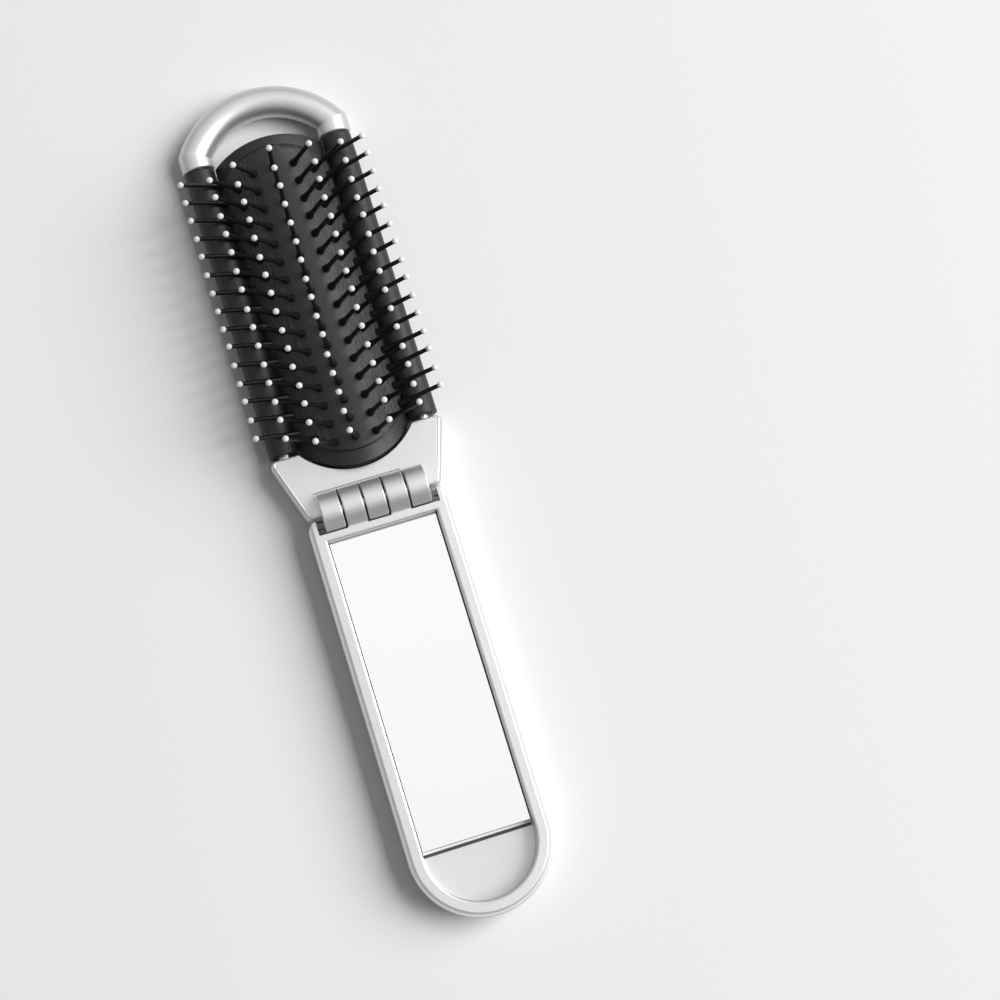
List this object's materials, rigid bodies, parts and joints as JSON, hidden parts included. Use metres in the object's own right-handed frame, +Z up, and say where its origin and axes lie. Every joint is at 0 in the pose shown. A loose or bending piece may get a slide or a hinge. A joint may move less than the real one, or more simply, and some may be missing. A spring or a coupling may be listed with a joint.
{
  "type": "folding hairbrush with mirror",
  "caption": "Folding pocket hairbrush: a vaulted pad of ball-tipped pins in a tubular frame, hinged to a tray handle that holds a mirror and closes over the pins.",
  "frame": {"origin": "on the surface the open brush lies on, under the middle of its outline", "axes": "+X across the brush, +Y along it from the handle to the bow, +Z up, out of the bristles and the mirror"},
  "size_m": [0.045, 0.2003, 0.0246],
  "materials": {
    "satin_silver": "satin silver paint over moulded plastic",
    "rod_steel": "plain drawn steel",
    "pad_black": "satin black moulded rubber with a fine texture",
    "pin_black": "smooth black nylon",
    "tip_white": "dipped white balls",
    "mirror_glass": "silvered glass",
    "tape": "foam tape"
  },
  "bodies": {
    "head": {"shoulder_plate": "satin_silver", "end_bow": "satin_silver", "side_rod_left": "rod_steel", "side_rod_right": "rod_steel", "hinge_pin": "rod_steel"},
    "pad_middle": {"pad_center": "pad_black", "pad_web_left": "pad_black", "pad_web_right": "pad_black", "pin_row_center": "pin_black", "pin_row_inner_left": "pin_black", "pin_row_inner_right": "pin_black", "tips_center": "tip_white", "tips_inner_left": "tip_white", "tips_inner_right": "tip_white"},
    "pad_side_left": {"pad_flap_left": "pad_black", "pad_sleeve_left": "pad_black", "pin_row_middle_left": "pin_black", "pin_row_outer_left": "pin_black", "tips_middle_left": "tip_white", "tips_outer_left": "tip_white"},
    "pad_side_right": {"pad_flap_right": "pad_black", "pad_sleeve_right": "pad_black", "pin_row_middle_right": "pin_black", "pin_row_outer_right": "pin_black", "tips_middle_right": "tip_white", "tips_outer_right": "tip_white"},
    "handle": {"handle_tray": "satin_silver", "handle_shell": "satin_silver", "mirror": "mirror_glass", "mirror_tape": "tape"}
  },
  "joints": [
    {"name": "handle_fold", "type": "hinge", "parent": "head", "child": "handle", "pos_m": [0, -0.00275, 0.0086], "axis": [-1, 0, 0], "range_deg": [0, 180]},
    {"name": "pad_drop", "type": "slide", "parent": "head", "child": "pad_middle", "axis": [0, 0, -1], "range_m": [0, 0.01605], "deforming": ["pad_web_left", "pad_web_right"]},
    {"name": "left_side_turn", "type": "hinge", "parent": "head", "child": "pad_side_left", "pos_m": [-0.0166, 0.049, 0.0039], "axis": [0, 1, 0], "range_deg": [0, 86.5]},
    {"name": "right_side_turn", "type": "hinge", "parent": "head", "child": "pad_side_right", "pos_m": [0.0166, 0.049, 0.0039], "axis": [0, -1, 0], "range_deg": [0, 86.5]}
  ],
  "couplings": [
    {"joint": "pad_drop", "follows": "handle_fold", "m_per_rad": 0.0050929},
    {"joint": "left_side_turn", "follows": "handle_fold", "ratio": 0.47778},
    {"joint": "right_side_turn", "follows": "handle_fold", "ratio": 0.47778}
  ]
}
